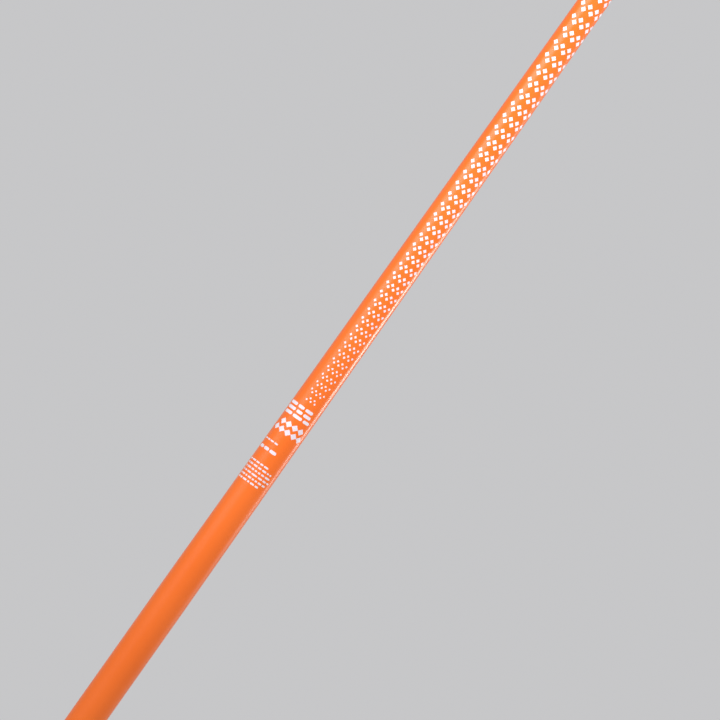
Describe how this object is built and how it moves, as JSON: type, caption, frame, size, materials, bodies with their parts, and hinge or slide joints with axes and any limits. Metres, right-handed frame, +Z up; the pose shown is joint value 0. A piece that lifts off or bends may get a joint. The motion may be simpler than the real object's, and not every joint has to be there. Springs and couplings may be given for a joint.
{
  "type": "ski pole",
  "caption": "Fixed-length ski pole: tapered orange shaft, black grip with finger grooves, adjustable wrist strap, turning snow basket and hollow carbide tip.",
  "frame": {"origin": "on the shaft's axis, halfway along the soft sleeve that the hand holds", "axes": "+Z up the shaft towards the pommel, +Y the side where the fingers close, -Y the palm side where the strap comes out, +X the right side"},
  "size_m": [0.095, 0.1233, 1.2],
  "materials": {
    "lacquer_orange": "gloss",
    "print_white": "gloss",
    "plug_white": "satin",
    "grip_hard": "satin",
    "grip_soft": "matte",
    "pommel_cap": "satin",
    "accent_orange": "satin",
    "webbing": "matte",
    "pad": "matte",
    "thread": "matte",
    "strap_moulding": "satin",
    "ferrule": "satin",
    "basket_hard": "satin",
    "basket_soft": "satin",
    "steel": "satin",
    "carbide": "polished"
  },
  "bodies": {
    "pole": {"shaft_tube": "lacquer_orange", "shaft_plug": "plug_white", "grip_core": "grip_hard", "grip_sleeve": "grip_soft", "pommel_cap": "pommel_cap", "strap_pin": "steel", "strap_inner": "webbing", "ferrule": "ferrule", "tip_holder": "steel", "tip_insert": "carbide", "basket_clip": "steel"},
    "wedge": {"strap_wedge": "accent_orange"},
    "strap": {"strap_webbing": "webbing", "strap_tail": "webbing", "strap_end_tab": "strap_moulding", "strap_pad": "pad", "strap_bartacks": "thread"},
    "keeper": {"strap_keeper": "strap_moulding"},
    "basket": {"basket_hub": "basket_hard", "basket_disc": "basket_soft"}
  },
  "joints": [
    {"name": "strap_swing", "type": "hinge", "parent": "pole", "child": "strap", "pos_m": [0, -0.01953, 0.06355], "axis": [-1, 0, 0], "range_deg": [0, 110]},
    {"name": "keeper_slide", "type": "slide", "parent": "strap", "child": "keeper", "axis": [0, 0.4226, 0.9063], "range_m": [-0.012, 0.016]},
    {"name": "wedge_lift", "type": "slide", "parent": "pole", "child": "wedge", "axis": [0, 0, 1], "range_m": [0, 0.008]},
    {"name": "basket_spin", "type": "hinge", "parent": "pole", "child": "basket", "pos_m": [0, 0, -1.0586], "axis": [0, 0, 1], "continuous": true}
  ]
}
